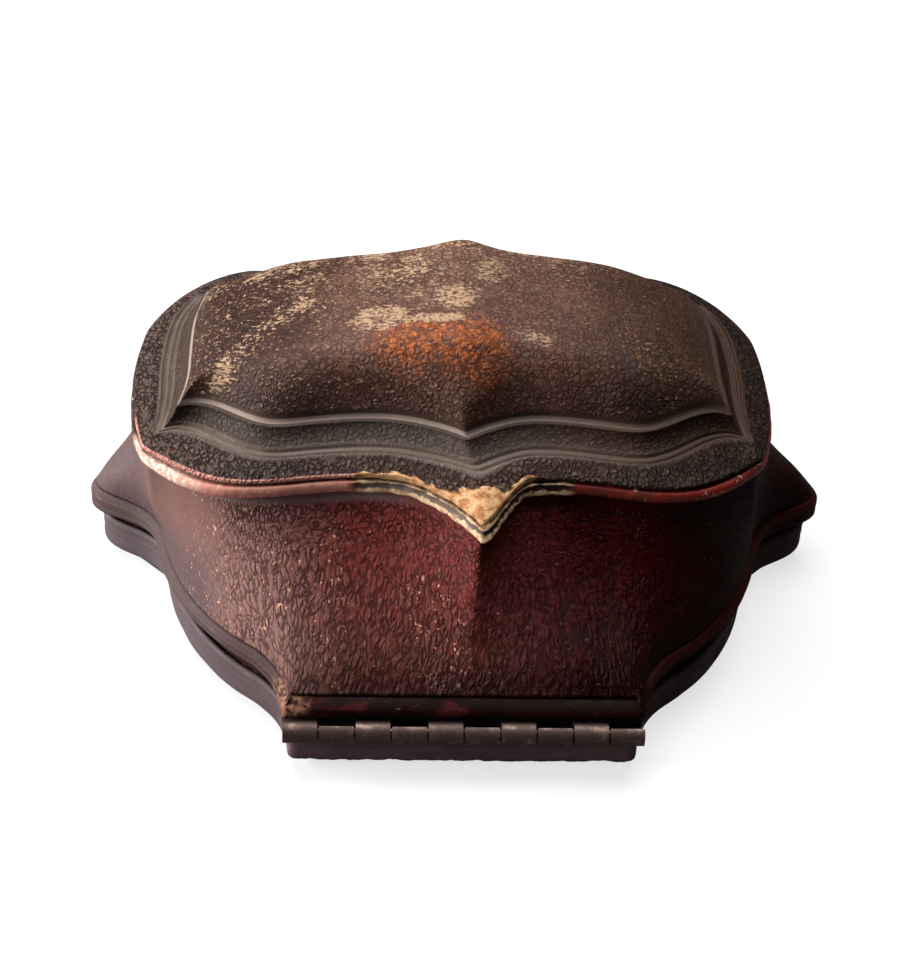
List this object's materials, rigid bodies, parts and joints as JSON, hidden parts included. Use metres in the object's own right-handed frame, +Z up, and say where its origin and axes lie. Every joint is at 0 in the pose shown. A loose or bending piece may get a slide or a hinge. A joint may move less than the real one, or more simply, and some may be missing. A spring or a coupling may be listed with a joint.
{
  "type": "jewellery presentation case",
  "caption": "Leather-covered shaped bangle case: shallow tray with velvet saddle, tall flared lid with a pillow top on a knuckled hinge, and a sprung button catch.",
  "frame": {"origin": "middle of the underside, on the table", "axes": "+X to one ear, -Y to the hinge side, +Y to the button side, +Z up"},
  "size_m": [0.1148, 0.103, 0.0503],
  "materials": {
    "dark_paper": "matt surface paper",
    "dark_leather": "worn, smooth, tooled lines",
    "carcass_wood": "bare softwood",
    "velvet": "silk velvet pile",
    "browned_brass": "browned with age",
    "spring_steel": "blued spring strip",
    "oxblood_leather": "grained morocco, worn on its edges",
    "worn_leather": "rubbed through to a pinkish red",
    "satin": "aged ivory silk satin"
  },
  "bodies": {
    "base": {"base_board": "carcass_wood", "base_leather": "dark_leather", "base_underpaper": "dark_paper", "base_tongue": "dark_paper", "velvet_bed": "velvet", "bangle_saddle": "velvet", "hinge_base_leaf": "browned_brass", "hinge_pin": "browned_brass", "hinge_base_nail_1": "browned_brass", "hinge_base_nail_2": "browned_brass", "hinge_base_nail_3": "browned_brass", "clasp_housing": "browned_brass", "clasp_bezel": "browned_brass", "catch_axle": "spring_steel"},
    "button": {"push_button": "browned_brass"},
    "catch": {"catch_lever": "spring_steel"},
    "lid": {"lid_shell": "carcass_wood", "lid_wall_leather": "oxblood_leather", "lid_rim_band": "dark_leather", "lid_bead": "worn_leather", "lid_top_panel": "oxblood_leather", "lid_side_lining": "satin", "lid_puff": "satin", "hinge_lid_leaf": "browned_brass", "hinge_lid_nail_1": "browned_brass", "hinge_lid_nail_2": "browned_brass", "hinge_lid_nail_3": "browned_brass", "lid_strike": "browned_brass", "strike_nail_1": "browned_brass", "strike_nail_2": "browned_brass"}
  },
  "joints": [
    {"name": "lid_hinge", "type": "hinge", "parent": "base", "child": "lid", "pos_m": [0, -0.0501, 0.00795], "axis": [1, 0, 0], "range_deg": [0, 95]},
    {"name": "button_press", "type": "slide", "parent": "base", "child": "button", "axis": [0, -1, 0], "range_m": [0, 0.0009], "stiffness_N_per_m": 1000},
    {"name": "catch_swing", "type": "hinge", "parent": "base", "child": "catch", "pos_m": [-0.0072, 0.04492, 0.0065], "axis": [0, 0, -1], "range_deg": [0, 7.2]}
  ],
  "couplings": [
    {"joint": "catch_swing", "follows": "button_press", "rad_per_m": 138.89}
  ]
}
